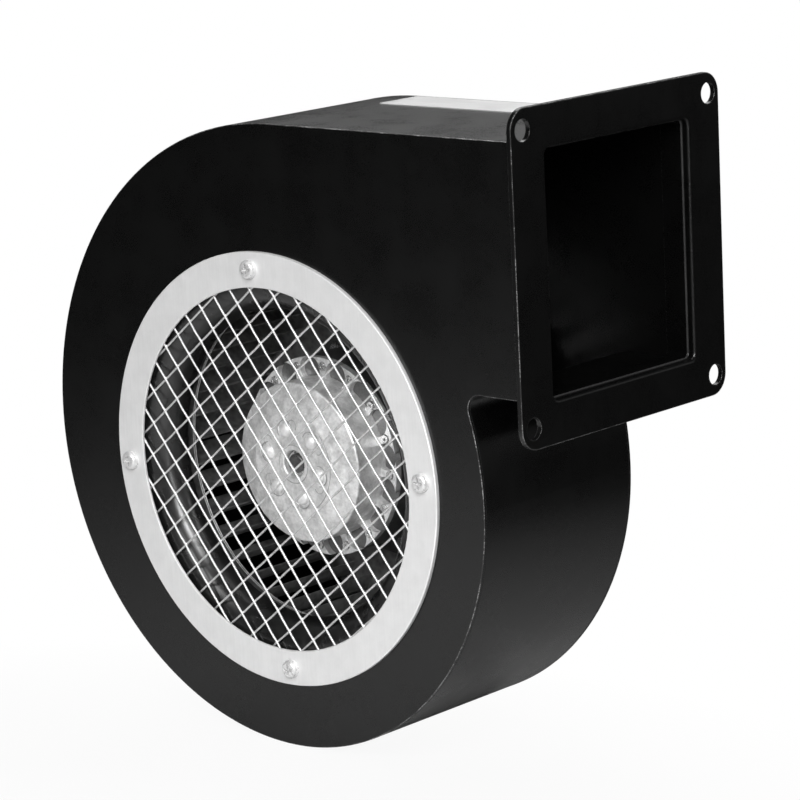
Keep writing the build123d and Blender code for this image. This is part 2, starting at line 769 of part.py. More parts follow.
with BuildPart() as slot_insulators:
    with BuildSketch(across(stack_front_depth)):
        slot_areas()
        winding_areas(Mode.SUBTRACT)
    extrude(amount=-stack_length)
    for depth in (stack_front_depth - insulator_thickness, stack_back_depth):
        with BuildSketch(across(depth)):
            Circle(slot_outer_radius)
            Circle(stator_slot_inner_radius - insulator_thickness, mode=Mode.SUBTRACT)
            winding_areas(Mode.SUBTRACT)
        extrude(amount=-insulator_thickness)

winding_front_depth = stack_front_depth - insulator_thickness - winding_overhang
winding_back_depth = stack_back_depth + insulator_thickness
with BuildPart() as stator_windings:
    for depth in (winding_front_depth, winding_back_depth):
        ring(depth, winding_inner_radius, winding_outer_radius, winding_overhang)
    fillet(stator_windings.edges().filter_by(GeomType.CIRCLE), winding_edge_radius)
    with BuildSketch(across(stack_front_depth - insulator_thickness)):
        winding_areas()
    extrude(amount=-(stack_length + 2 * insulator_thickness))

# Motor screws with their washers, on the rear side plate
washer_face_depth = casing_depth + washer_thickness
with BuildPart(facing_back(washer_face_depth)) as motor_screws:
    with PolarLocations(motor_screw_circle_radius, motor_screw_count, -motor_screw_turn):
        add(pan_screw.part)
    discs(
        washer_face_depth - motor_screw_length, motor_screw_circle_radius, motor_screw_count,
        motor_screw_turn, screw_shank_diameter / 2, motor_screw_length,
    )

with BuildPart() as motor_washers:
    with BuildSketch(across(casing_depth)):
        with PolarLocations(motor_screw_circle_radius, motor_screw_count, motor_screw_turn):
            Circle(washer_outer_radius)
            Circle(screw_hole_radius, mode=Mode.SUBTRACT)
    extrude(amount=-washer_thickness)

# Cable grommet in the rear side plate
with BuildPart() as cable_grommet:
    for depth in (inner_back_depth - grommet_flange_height, casing_depth):
        discs(
            depth, grommet_circle_radius, 1, grommet_turn,
            grommet_flange_radius, grommet_flange_height,
        )
    fillet(cable_grommet.edges().filter_by(GeomType.CIRCLE), grommet_edge_radius)
    discs(inner_back_depth, grommet_circle_radius, 1, grommet_turn, grommet_neck_radius, sheet)
    discs(
        inner_back_depth - grommet_flange_height, grommet_circle_radius, 1, grommet_turn,
        grommet_bore_radius, sheet + 2 * grommet_flange_height, Mode.SUBTRACT,
    )

pieces = {
    "front_side_plate": front_side_plate,
    "scroll_wrapper": scroll_wrapper,
    "rear_side_plate": rear_side_plate,
    "outlet_flange": outlet_flange,
    "inlet_nozzle": inlet_nozzle,
    "guard_ring": guard_ring,
    "guard_mesh_front_wires": guard_mesh_front_wires,
    "guard_mesh_rear_wires": guard_mesh_rear_wires,
    "guard_screws": guard_screws,
    "guard_nuts": guard_nuts,
    "rating_plate": rating_plate,
    "impeller_blades": impeller_blades,
    "impeller_front_ring": impeller_front_ring,
    "impeller_hub_disc": impeller_hub_disc,
    "rotor_shell": rotor_shell,
    "hub_rivets": hub_rivets,
    "rotor_end_cap": rotor_end_cap,
    "cap_rivets": cap_rivets,
    "rotor_core": rotor_core,
    "rotor_cage": rotor_cage,
    "shaft": shaft,
    "shaft_circlips": shaft_circlips,
    "bearing_inner_races": bearing_inner_races,
    "bearing_outer_races": bearing_outer_races,
    "bearing_balls": bearing_balls,
    "preload_spring": preload_spring,
    "motor_flange": motor_flange,
    "bearing_cover": bearing_cover,
    "stator_core": stator_core,
    "slot_insulators": slot_insulators,
    "stator_windings": stator_windings,
    "motor_screws": motor_screws,
    "motor_washers": motor_washers,
    "cable_grommet": cable_grommet,
}
for name, piece in pieces.items():
    piece.part.label = name
    export_step(piece.part, f"parts/{name}.step")
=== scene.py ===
import math
import random

import bmesh
import bpy
from mathutils import Matrix, Vector


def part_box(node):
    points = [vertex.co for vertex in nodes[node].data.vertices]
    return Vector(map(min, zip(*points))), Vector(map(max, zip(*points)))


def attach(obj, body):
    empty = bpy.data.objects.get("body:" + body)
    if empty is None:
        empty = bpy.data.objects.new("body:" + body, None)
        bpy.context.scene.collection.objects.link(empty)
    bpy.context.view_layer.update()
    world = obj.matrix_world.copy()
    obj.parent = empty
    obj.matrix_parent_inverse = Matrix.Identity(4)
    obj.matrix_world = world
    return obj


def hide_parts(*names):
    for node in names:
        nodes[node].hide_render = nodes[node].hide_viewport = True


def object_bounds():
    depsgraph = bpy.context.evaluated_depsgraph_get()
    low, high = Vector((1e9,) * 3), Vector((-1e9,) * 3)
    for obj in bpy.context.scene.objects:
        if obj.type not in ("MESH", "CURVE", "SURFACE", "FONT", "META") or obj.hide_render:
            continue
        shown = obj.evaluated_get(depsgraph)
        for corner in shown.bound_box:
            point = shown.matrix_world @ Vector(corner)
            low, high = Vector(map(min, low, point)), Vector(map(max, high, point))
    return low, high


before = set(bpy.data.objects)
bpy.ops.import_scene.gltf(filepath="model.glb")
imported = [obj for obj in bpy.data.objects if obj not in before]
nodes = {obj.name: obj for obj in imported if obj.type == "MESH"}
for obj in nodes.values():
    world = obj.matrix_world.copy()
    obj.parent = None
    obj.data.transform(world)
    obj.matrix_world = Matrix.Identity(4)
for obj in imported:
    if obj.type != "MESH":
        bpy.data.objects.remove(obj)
cad_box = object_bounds()

# Lengths are in metres, in the part's frame: the fan's axis runs along Y, the inlet faces -Y,
# and the origin is the centre of the outlet flange's face.
MM = 0.001
AXIS_X = (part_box("guard_ring")[0].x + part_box("guard_ring")[1].x) / 2
AXIS_Z = (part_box("guard_ring")[0].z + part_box("guard_ring")[1].z) / 2
FRONT_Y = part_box("front_side_plate")[0].y
BACK_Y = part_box("rear_side_plate")[1].y
FLOOR_Z = cad_box[0].z
ALONG_X = Vector((1, 0, 0))
ALONG_Y = Vector((0, 1, 0))


# Node helpers

# The span that most of a noise's values lie in, and that of two noises added together
NOISE_SPAN = (0.3, 0.7)
SUM_SPAN = (0.6, 1.4)
BEVEL_SAMPLES = 4
# The rounded normal's product with the face's own, where an edge starts and in its middle
EDGE_SPAN = (0.98, 0.85)


def grey(level):
    """A neutral grey of that level."""
    return (level, level, level, 1.0)


class Surface:
    """One material with its Principled shader, and short calls that add nodes to it."""

    def __init__(self, name):
        self.material = bpy.data.materials.new(name)
        self.material.use_nodes = True
        self.tree = self.material.node_tree
        self.shader = self.tree.nodes["Principled BSDF"]
        self.place = self.node("ShaderNodeTexCoord").outputs["Object"]

    def node(self, kind, **settings):
        made = self.tree.nodes.new(kind)
        for key, value in settings.items():
            setattr(made, key, value)
        return made

    def link(self, source, target):
        self.tree.links.new(source, target)

    def feed(self, socket, value):
        """Links a socket to another, or gives it a constant."""
        if isinstance(value, bpy.types.NodeSocket):
            self.link(value, socket)
        else:
            socket.default_value = value

    def stretched(self, factors):
        """The object's coordinates, multiplied along each axis."""
        mapping = self.node("ShaderNodeMapping")
        mapping.inputs["Scale"].default_value = factors
        self.link(self.place, mapping.inputs["Vector"])
        return mapping.outputs["Vector"]

    def noise(self, size, detail=3.0, roughness=0.5, place=None):
        """Noise whose features are about that size in metres."""
        made = self.node("ShaderNodeTexNoise")
        self.link(place or self.place, made.inputs["Vector"])
        made.inputs["Scale"].default_value = 1 / size
        made.inputs["Detail"].default_value = detail
        made.inputs["Roughness"].default_value = roughness
        return made.outputs["Fac"]

    def spots(self, size):
        """Distance to the nearest of many scattered points that lie about that size apart."""
        made = self.node("ShaderNodeTexVoronoi")
        self.link(self.place, made.inputs["Vector"])
        made.inputs["Scale"].default_value = 1 / size
        return made.outputs["Distance"]

    def remap(self, value, low, high, new_low, new_high):
        """The value with one span stretched onto another, and kept inside it."""
        made = self.node("ShaderNodeMapRange")
        self.feed(made.inputs["Value"], value)
        made.inputs["From Min"].default_value = low
        made.inputs["From Max"].default_value = high
        made.inputs["To Min"].default_value = new_low
        made.inputs["To Max"].default_value = new_high
        return made.outputs["Result"]

    def vary(self, pattern, low, high, span=NOISE_SPAN):
        """A value that goes from low to high as a pattern goes through its usual span."""
        return self.remap(pattern, *span, low, high)

    def shades(self, pattern, dark, light, span=NOISE_SPAN):
        """A grey that goes from dark to light as a pattern goes through its usual span."""
        return self.mix(self.vary(pattern, 0.0, 1.0, span), grey(dark), grey(light))

    def blend(self, first, second, share=0.5):
        """Two patterns added together, the first by its share and the second by the rest."""
        return self.math(
            "ADD", self.math("MULTIPLY", first, share), self.math("MULTIPLY", second, 1 - share)
        )

    def math(self, operation, first, second=0.0):
        made = self.node("ShaderNodeMath", operation=operation)
        self.feed(made.inputs[0], first)
        self.feed(made.inputs[1], second)
        return made.outputs["Value"]

    def mix(self, factor, first, second):
        made = self.node("ShaderNodeMix", data_type="RGBA")
        self.feed(made.inputs["Factor"], factor)
        self.feed(made.inputs[6], first)
        self.feed(made.inputs[7], second)
        return made.outputs[2]

    def edges(self, width):
        """1 along the sharp edges of the shape and 0 away from them."""
        bevel = self.node("ShaderNodeBevel", samples=BEVEL_SAMPLES)
        bevel.inputs["Radius"].default_value = width
        geometry = self.node("ShaderNodeNewGeometry")
        dot = self.node("ShaderNodeVectorMath", operation="DOT_PRODUCT")
        self.link(bevel.outputs["Normal"], dot.inputs[0])
        self.link(geometry.outputs["Normal"], dot.inputs[1])
        return self.vary(dot.outputs["Value"], 0.0, 1.0, EDGE_SPAN)

    def bump(self, height, depth, strength, under=None):
        """A normal that follows a pattern as if it were a relief of that depth."""
        made = self.node("ShaderNodeBump")
        made.inputs["Distance"].default_value = depth
        made.inputs["Strength"].default_value = strength
        self.link(height, made.inputs["Height"])
        if under is not None:
            self.link(under, made.inputs["Normal"])
        return made.outputs["Normal"]

    def rounded(self, width):
        """A normal that softens the shape's sharp edges."""
        made = self.node("ShaderNodeBevel", samples=BEVEL_SAMPLES)
        made.inputs["Radius"].default_value = width
        return made.outputs["Normal"]

    def set(self, **values):
        """Sets inputs of the shader, named with underscores for spaces."""
        for key, value in values.items():
            self.feed(self.shader.inputs[key.replace("_", " ")], value)


# Materials

def powder_coat(name, level, gloss, edge_highlight_strength):
    """Satin black powder coat with its fine orange peel, and lighter specks along the edges that paint
    a highlight on them.
    """
    paint = Surface(name)
    cloud = paint.noise(18 * MM, 4.0)
    peel = paint.noise(1.1 * MM, 2.0)
    grain = paint.noise(0.35 * MM, 2.0)
    base = paint.shades(cloud, level * 0.8, level * 1.25)
    specks = paint.vary(grain, 0.0, 1.0, (0.52, 0.62))
    # Painted highlight: the edges turn lighter grey in specks
    painted_edge_highlight = paint.math("MULTIPLY", paint.edges(0.45 * MM), paint.math("MULTIPLY", specks, edge_highlight_strength))
    paint.set(
        Base_Color=paint.mix(painted_edge_highlight, base, grey(0.42)),
        Roughness=paint.vary(paint.math("ADD", cloud, grain), gloss - 0.04, gloss + 0.05, SUM_SPAN),
        Normal=paint.bump(peel, 0.018 * MM, 0.5, under=paint.rounded(0.5 * MM)),
        IOR=1.5,
    )
    return paint.material


def edge_highlight_paint():
    """Edge paint that is lighter than the casing, dark grey with bright bare specks: a painted
    highlight along the edge.
    """
    edge = Surface("casing_edge_highlight_finish")
    stretch = edge.noise(6 * MM, 3.0)
    grain = edge.noise(0.5 * MM, 2.0)
    specks = edge.vary(edge.blend(stretch, grain), 0.0, 1.0, (0.50, 0.60))
    # Painted highlight: the edge's paint is far lighter than the casing's black
    edge.set(
        Base_Color=edge.mix(specks, grey(0.02), grey(0.30)),
        Roughness=edge.remap(specks, 0.0, 1.0, 0.30, 0.42),
        Normal=edge.bump(grain, 0.02 * MM, 0.5),
        Metallic=edge.remap(specks, 0.0, 1.0, 0.0, 0.6),
    )
    return edge.material


def zinc_sheet():
    """Bright zinc-plated sheet: faint streaks from rolling, and a soft mottle."""
    zinc = Surface("zinc_sheet_finish")
    mottle = zinc.noise(7 * MM, 5.0, 0.6)
    streaks = zinc.noise(1.0 * MM, 3.0, place=zinc.stretched((1.0, 1.0, 0.06)))
    fine = zinc.noise(0.4 * MM, 2.0)
    zinc.set(
        Base_Color=zinc.shades(zinc.blend(mottle, streaks, 0.6), 0.72, 0.79, (0.35, 0.65)),
        Roughness=zinc.vary(zinc.math("ADD", streaks, fine), 0.44, 0.56, SUM_SPAN),
        Normal=zinc.bump(
            zinc.math("ADD", fine, mottle), 0.02 * MM, 0.35, under=zinc.rounded(0.4 * MM)
        ),
        Metallic=0.35,
    )
    return zinc.material


def zinc_wire():
    """Zinc-plated wire, a little rough and bright."""
    wire = Surface("zinc_wire_finish")
    mottle = wire.noise(1.2 * MM, 4.0, 0.6)
    wire.set(
        Base_Color=wire.shades(mottle, 0.55, 0.84),
        Roughness=wire.vary(mottle, 0.30, 0.5),
        Normal=wire.bump(mottle, 0.03 * MM, 0.5),
        Metallic=0.6,
    )
    return wire.material


def plated_screw():
    """Zinc-plated screw steel with a soft mottle."""
    screw = Surface("zinc_screw_finish")
    mottle = screw.noise(1.5 * MM, 4.0)
    screw.set(
        Base_Color=screw.shades(mottle, 0.66, 0.84),
        Roughness=screw.vary(mottle, 0.24, 0.38),
        Normal=screw.bump(mottle, 0.02 * MM, 0.4, under=screw.rounded(0.25 * MM)),
        Metallic=0.5,
    )
    return screw.material


def glossy_black():
    """Pressed and painted nozzle, smoother than the casing."""
    gloss = Surface("nozzle_black_finish")
    wave = gloss.noise(9 * MM, 3.0)
    fine = gloss.noise(0.8 * MM, 2.0)
    gloss.set(
        Base_Color=gloss.shades(wave, 0.004, 0.008),
        Roughness=gloss.vary(wave, 0.26, 0.30),
        Normal=gloss.bump(fine, 0.01 * MM, 0.2),
        IOR=1.7,
    )
    return gloss.material


def wheel_steel():
    """Galvanised sheet of the wheel, darkened to a mid grey as painted shade inside the casing, with a
    fine spangle.
    """
    steel = Surface("wheel_steel_shaded_finish")
    spangle = steel.spots(2.4 * MM)
    mottle = steel.noise(6 * MM, 4.0)
    tone = steel.blend(spangle, mottle)
    # Painted shade: darker than the bright zinc sheet, for the wheel inside the casing
    steel.set(
        Base_Color=steel.shades(tone, 0.26, 0.44),
        Roughness=steel.vary(tone, 0.34, 0.50),
        Normal=steel.bump(mottle, 0.03 * MM, 0.4, under=steel.rounded(0.3 * MM)),
        Metallic=0.85,
    )
    return steel.material


def shell_steel():
    """Drawn rotor shell in dull plated steel, with drawing marks along the axis."""
    shell = Surface("shell_steel_finish")
    draw = shell.noise(0.8 * MM, 3.0, place=shell.stretched((1.0, 0.05, 1.0)))
    mottle = shell.noise(5 * MM, 4.0)
    tone = shell.blend(draw, mottle)
    shell.set(
        Base_Color=shell.shades(tone, 0.12, 0.24),
        Roughness=shell.vary(tone, 0.36, 0.50),
        Normal=shell.bump(draw, 0.02 * MM, 0.4, under=shell.rounded(0.4 * MM)),
        Metallic=0.8,
    )
    return shell.material


def cast_aluminium():
    """Die-cast aluminium: bright skin with a cloudy, slightly lumpy surface."""
    cast = Surface("cast_aluminium_finish")
    cloud = cast.noise(4.5 * MM, 5.0, 0.62)
    lumps = cast.noise(1.3 * MM, 3.0)
    pits = cast.vary(cast.spots(1.6 * MM), 0.25, 0.0, (0.05, 0.22))
    tone = cast.blend(cloud, lumps, 0.7)
    tone_span = (0.34, 0.64)
    cast.set(
        Base_Color=cast.mix(pits, cast.shades(tone, 0.54, 0.97, tone_span), grey(0.35)),
        Roughness=cast.vary(tone, 0.30, 0.44, tone_span),
        Normal=cast.bump(
            cast.math("ADD", lumps, cloud), 0.12 * MM, 0.45, under=cast.rounded(0.5 * MM)
        ),
        Metallic=0.55,
    )
    return cast.material


def pin_aluminium():
    """Aluminium pins, rubbed smoother than the casting round them."""
    pin = Surface("pin_aluminium_finish")
    mottle = pin.noise(1.4 * MM, 3.0)
    pin.set(
        Base_Color=pin.shades(mottle, 0.72, 0.90),
        Roughness=pin.vary(mottle, 0.34, 0.44),
        Normal=pin.bump(mottle, 0.04 * MM, 0.5),
        Metallic=0.35,
    )
    return pin.material


def plain_steel(name, low, high, roughness, metallic=0.9):
    """Plain metal with a soft mottle and a fine grain."""
    steel = Surface(name)
    mottle = steel.noise(3 * MM, 4.0)
    fine = steel.noise(0.5 * MM, 2.0)
    steel.set(
        Base_Color=steel.shades(mottle, low, high),
        Roughness=steel.vary(fine, roughness - 0.05, roughness + 0.07),
        Normal=steel.bump(fine, 0.01 * MM, 0.4, under=steel.rounded(0.25 * MM)),
        Metallic=metallic,
    )
    return steel.material


def enamelled_copper():
    """Wound copper wire: fine turns that run round the axis, under clear enamel."""
    copper = Surface("winding_copper_finish")
    turns = copper.noise(0.7 * MM, 2.0, place=copper.stretched((1.0, 3.0, 1.0)))
    copper.set(
        Base_Color=copper.mix(
            copper.vary(turns, 0.0, 1.0, (0.35, 0.65)), (0.20, 0.055, 0.018, 1), (0.58, 0.21, 0.075, 1)
        ),
        Roughness=copper.vary(turns, 0.25, 0.4),
        Normal=copper.bump(turns, 0.15 * MM, 0.6),
        Metallic=0.7,
    )
    return copper.material


def moulded(name, colour, roughness, grain_size):
    """Moulded plastic or rubber with a fine matt grain."""
    skin = Surface(name)
    grain = skin.noise(grain_size, 3.0)
    cloud = skin.noise(12 * MM, 3.0)
    dark = tuple(channel * 0.8 for channel in colour) + (1.0,)
    light = tuple(min(1.0, channel * 1.2) for channel in colour) + (1.0,)
    skin.set(
        Base_Color=skin.mix(skin.vary(cloud, 0.0, 1.0), dark, light),
        Roughness=skin.vary(grain, roughness - 0.06, roughness + 0.08),
        Normal=skin.bump(grain, 0.02 * MM, 0.5, under=skin.rounded(0.3 * MM)),
    )
    return skin.material


def label_foil():
    """Blank silver foil of the rating plate."""
    foil = Surface("label_silver_finish")
    wave = foil.noise(14 * MM, 3.0)
    brushed = foil.noise(0.5 * MM, 3.0, place=foil.stretched((0.05, 1.0, 1.0)))
    foil.set(
        Base_Color=foil.shades(brushed, 0.66, 0.80),
        Roughness=foil.vary(wave, 0.34, 0.44),
        Normal=foil.bump(brushed, 0.008 * MM, 0.4),
        Metallic=0.75,
    )
    return foil.material


finishes = {
    "casing_black": powder_coat("casing_black_finish", 0.0016, 0.28, 0.5),
    "nozzle_black": glossy_black(),
    "zinc_sheet": zinc_sheet(),
    "zinc_wire": zinc_wire(),
    "zinc_screw": plated_screw(),
    "wheel_steel": wheel_steel(),
    "shell_steel": shell_steel(),
    "cast_aluminium": cast_aluminium(),
    "core_steel": plain_steel("core_steel_finish", 0.12, 0.22, 0.5),
    "bearing_steel": plain_steel("bearing_steel_finish", 0.5, 0.62, 0.18),
    "shaft_steel": plain_steel("shaft_steel_finish", 0.10, 0.20, 0.30),
    "winding_copper": enamelled_copper(),
    "insulator_plastic": moulded("insulator_plastic_finish", (0.72, 0.68, 0.56), 0.5, 0.6 * MM),
    "grommet_rubber": moulded("grommet_rubber_finish", (0.02, 0.02, 0.02), 0.62, 0.4 * MM),
    "label_silver": label_foil(),
}

# Finishes of the scene's own pieces
finishes["casing_edge"] = edge_highlight_paint()
finishes["joint_shadow"] = moulded("joint_shadow_finish", (0.0015, 0.0015, 0.0015), 0.7, 0.5 * MM)
finishes["pin_aluminium"] = pin_aluminium()
# Darker aluminium for the cast ridges: painted shade along the casting's steps
finishes["ridge_shaded_aluminium"] = plain_steel("ridge_aluminium_finish", 0.32, 0.50, 0.50, 0.4)
# Lighter steel for the wheel's rims: a painted highlight along the hole's edges
finishes["rim_highlight_steel"] = plain_steel("rim_steel_finish", 0.45, 0.65, 0.34, 0.6)
finishes["clip_steel"] = plain_steel("clip_steel_finish", 0.62, 0.78, 0.26)
# The bead in the flange's mouth is painted far lighter than the casing, a painted highlight
finishes["neck_painted_highlight"] = powder_coat("neck_gloss_finish", 0.03, 0.20, 0.8)

node_finish = {
    "front_side_plate": "casing_black",
    "scroll_wrapper": "casing_black",
    "rear_side_plate": "casing_black",
    "outlet_flange": "casing_black",
    "inlet_nozzle": "nozzle_black",
    "guard_ring": "zinc_sheet",
    "guard_screws": "zinc_screw",
    "guard_nuts": "zinc_screw",
    "rating_plate": "label_silver",
    "impeller_blades": "wheel_steel",
    "impeller_front_ring": "wheel_steel",
    "impeller_hub_disc": "wheel_steel",
    "rotor_shell": "shell_steel",
    "hub_rivets": "clip_steel",
    "rotor_end_cap": "cast_aluminium",
    "cap_rivets": "clip_steel",
    "rotor_core": "core_steel",
    "rotor_cage": "cast_aluminium",
    "shaft": "shaft_steel",
    "shaft_circlips": "clip_steel",
    "bearing_inner_races": "bearing_steel",
    "bearing_outer_races": "bearing_steel",
    "bearing_balls": "bearing_steel",
    "preload_spring": "clip_steel",
    "motor_flange": "cast_aluminium",
    "bearing_cover": "zinc_sheet",
    "stator_core": "core_steel",
    "slot_insulators": "insulator_plastic",
    "stator_windings": "winding_copper",
    "motor_screws": "zinc_screw",
    "motor_washers": "zinc_screw",
    "cable_grommet": "grommet_rubber",
    "guard_mesh_front_wires": "zinc_wire",
    "guard_mesh_rear_wires": "zinc_wire",
}


def dress(obj, finish):
    """Gives an object its finish."""
    obj.data.materials.clear()
    obj.data.materials.append(finishes[finish])


for name, finish in node_finish.items():
    dress(nodes[name], finish)


# Pieces that the solids leave out or keep plain. Their sizes are in millimetres, and their angles
# in degrees towards +Z, from +X, or from +Y in the flange's plane.

BAR_SIDES = 8


def from_axis(x, depth, z):
    """A point given in millimetres from the fan's axis and behind the front side plate's face."""
    return Vector((AXIS_X + x * MM, FRONT_Y + depth * MM, AXIS_Z + z * MM))


def flattened(middle, radius, height):
    """A unit ball's placing, radius wide across the axis and height deep along it."""
    return Matrix.Translation(middle) @ Matrix.Diagonal((radius * MM, height * MM, radius * MM, 1))


def sweep(shape, path, radius, across, closed=False, sides=BAR_SIDES):
    """Adds a round bar along a path to a bmesh; across is a direction that the path never takes."""
    rings = []
    count = len(path)
    for index, point in enumerate(path):
        before = path[index - 1] if index or closed else point
        after = path[(index + 1) % count] if index + 1 < count or closed else point
        side = (after - before).normalized().cross(across).normalized()
        rings.append([
            shape.verts.new(point + (side * math.cos(turn) + across * math.sin(turn)) * radius)
            for turn in (2 * math.pi * step / sides for step in range(sides))
        ])
    for index in range(count if closed else count - 1):
        first, second = rings[index], rings[(index + 1) % count]
        for step in range(sides):
            following = (step + 1) % sides
            shape.faces.new((first[step], first[following], second[following], second[step]))
    if not closed:
        shape.faces.new(reversed(rings[0]))
        shape.faces.new(rings[-1])


def finish_piece(shape, name, body, finish, replaced=()):
    """Turns a bmesh into a smooth object that rides on a body with a finish."""
    bmesh.ops.recalc_face_normals(shape, faces=shape.faces)
    mesh = bpy.data.meshes.new(name)
    shape.to_mesh(mesh)
    shape.free()
    mesh.shade_smooth()
    piece = bpy.data.objects.new(name, mesh)
    bpy.context.collection.objects.link(piece)
    dress(piece, finish)
    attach(piece, body)
    if replaced:
        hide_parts(*replaced)


# The welded mesh: how far its wires press into each other and stray where they cross, and how
# many steps a wire has between two crossings and at least
GUARD_OPENING = 75.3
MESH_RADIUS = 78.4
WIRE_RADIUS = 0.475
WIRE_SET_DOWN = 0.13
WIRE_JOG = 0.12
WIRE_STEPS = 6
WIRE_LEAST_STEPS = 8
MESH_LAYERS = {
    "guard_mesh_front_wires": {"turn": 37.7, "pitch": 9.65, "offset": 0.3, "towards": 1},
    "guard_mesh_rear_wires": {"turn": 128.7, "pitch": 9.78, "offset": 3.85, "towards": -1},
}


def layer_frame(layer):
    """The direction square to a layer's wires, and the direction along them, as (x, z)."""
    turn = math.radians(layer["turn"])
    return (math.cos(turn), math.sin(turn)), (-math.sin(turn), math.cos(turn))


def wire_distances(layer):
    """How far from the axis each wire of a layer runs."""
    first = int((GUARD_OPENING + layer["offset"]) // layer["pitch"])
    last = int((GUARD_OPENING - layer["offset"]) // layer["pitch"])
    return [layer["offset"] + index * layer["pitch"] for index in range(-first, last + 1)]


def crossings(distance, layer, other):
    """Places along one wire where it meets the other layer's wires."""
    normal, along = layer_frame(layer)
    other_normal, _ = layer_frame(other)
    skew = normal[0] * other_normal[0] + normal[1] * other_normal[1]
    reach = along[0] * other_normal[0] + along[1] * other_normal[1]
    return [(far - distance * skew) / reach for far in wire_distances(other)]


def mesh_layer(name, other_name, chance):
    """Drawn wires that press into the other layer where they cross it, and stray a little."""
    layer, other = MESH_LAYERS[name], MESH_LAYERS[other_name]
    low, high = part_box(name)
    depth = ((low.y + high.y) / 2 - FRONT_Y) / MM
    normal, along = layer_frame(layer)
    shape = bmesh.new()
    for distance in wire_distances(layer):
        half = math.sqrt(MESH_RADIUS**2 - distance**2)
        meetings = [
            (place, chance.uniform(-WIRE_JOG, WIRE_JOG)) for place in crossings(distance, layer, other)
        ]
        count = max(WIRE_LEAST_STEPS, int(2 * half / other["pitch"] * WIRE_STEPS))
        path = []
        for step in range(count + 1):
            place = -half + 2 * half * step / count
            meeting, stray = min(meetings, key=lambda pair: abs(pair[0] - place))
            near = max(0.0, 1 - abs(place - meeting) / (other["pitch"] / 2))
            settled = near * near * (3 - 2 * near)
            off = distance + stray * settled
            path.append(from_axis(
                normal[0] * off + along[0] * place,
                depth + layer["towards"] * WIRE_SET_DOWN * settled,
                normal[1] * off + along[1] * place,
            ))
        sweep(shape, path, WIRE_RADIUS * MM, ALONG_Y)
    finish_piece(shape, name.replace("guard_mesh", "drawn"), "casing", "zinc_wire", (name,))


WELD_RADIUS = 0.72
WELD_HEIGHT = 0.5
WELD_SUBDIVISIONS = 2


def mesh_welds():
    """A small flattened nugget of weld at every crossing of the two layers."""
    front = MESH_LAYERS["guard_mesh_front_wires"]
    rear = MESH_LAYERS["guard_mesh_rear_wires"]
    depth = (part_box("guard_mesh_front_wires")[1].y - FRONT_Y) / MM
    normal, along = layer_frame(front)
    shape = bmesh.new()
    for distance in wire_distances(front):
        for place in crossings(distance, front, rear):
            if math.hypot(distance, place) < GUARD_OPENING:
                middle = from_axis(
                    normal[0] * distance + along[0] * place,
                    depth,
                    normal[1] * distance + along[1] * place,
                )
                bmesh.ops.create_icosphere(
                    shape, subdivisions=WELD_SUBDIVISIONS, radius=1,
                    matrix=flattened(middle, WELD_RADIUS, WELD_HEIGHT),
                )
    finish_piece(shape, "mesh_welds", "casing", "zinc_wire")


# The casing's outline from the fan's axis. An arc has its centre, its radius and its two angles,
# and the last one meets the tongue's fillet.
TOP_HEIGHT = 141.9
FLOOR_HEIGHT = 43.0
LEFT_REACH = 126.4
BOTTOM_REACH = 116.5
AXIS_TO_FLANGE_BACK = 146.9
CASING_ARCS = (
    ((5.9, 9.6), 132.3, 90, 180),
    ((-0.3, 9.6), 126.1, 180, 270),
    ((-0.3, -3.3), 113.2, 270, 360),
    ((-19.3, -3.3), 132.2, 0, 17.02),
)
TONGUE_FILLET = 6.0
ARC_STEP = 2
ARC_LEAST_STEPS = 2
# A whole turn, apart from its last step
ROUND = (0, 360 - ARC_STEP)


def from_centre(centre, radius, angle):
    """The point at a distance and an angle from a centre."""
    turn = math.radians(angle)
    return (centre[0] + radius * math.cos(turn), centre[1] + radius * math.sin(turn))


def arc_points(centre, radius, start, end):
    """Points along an arc between two angles."""
    count = max(ARC_LEAST_STEPS, int(abs(end - start) / ARC_STEP))
    return [
        from_centre(centre, radius, start + (end - start) * step / count) for step in range(count + 1)
    ]


def casing_edge(inset):
    """The outline from the top of the flange round to the duct's floor, drawn in by inset."""
    points = [(AXIS_TO_FLANGE_BACK, TOP_HEIGHT - inset)]
    for centre, radius, start, end in CASING_ARCS:
        points += arc_points(centre, radius - inset, start, end)
    centre, radius, _, meeting = CASING_ARCS[-1]
    tongue_centre = from_centre(centre, radius + TONGUE_FILLET, meeting)
    points += arc_points(tongue_centre, TONGUE_FILLET + inset, 180 + meeting, 90)
    points.append((AXIS_TO_FLANGE_BACK, FLOOR_HEIGHT + inset))
    return points


# The rolled edge lies flush with the two faces that it joins, and the joint stands out a hair
BEAD_RADIUS = 0.27
JOINT_RADIUS = 0.16
JOINT_DEPTH = 1.3
JOINT_INSET = 0.12


def casing_seams():
    """The rolled edge of each side plate, and the dark joint beside it."""
    depth = (BACK_Y - FRONT_Y) / MM
    for side, bead_depth, joint_depth in (
        ("front", BEAD_RADIUS, JOINT_DEPTH),
        ("rear", depth - BEAD_RADIUS, depth - JOINT_DEPTH),
    ):
        for name, place, radius, inset, finish in (
            # The rolled edge's paint is lighter than the casing, a painted highlight
            ("rolled_edge", bead_depth, BEAD_RADIUS, BEAD_RADIUS, "casing_edge"),
            ("joint", joint_depth, JOINT_RADIUS, JOINT_INSET, "joint_shadow"),
        ):
            shape = bmesh.new()
            path = [
                from_axis(max(x, radius - LEFT_REACH), place, max(z, radius - BOTTOM_REACH))
                for x, z in casing_edge(inset)
            ]
            sweep(shape, path, radius * MM, ALONG_Y)
            finish_piece(shape, f"{side}_{name}", "casing", finish)


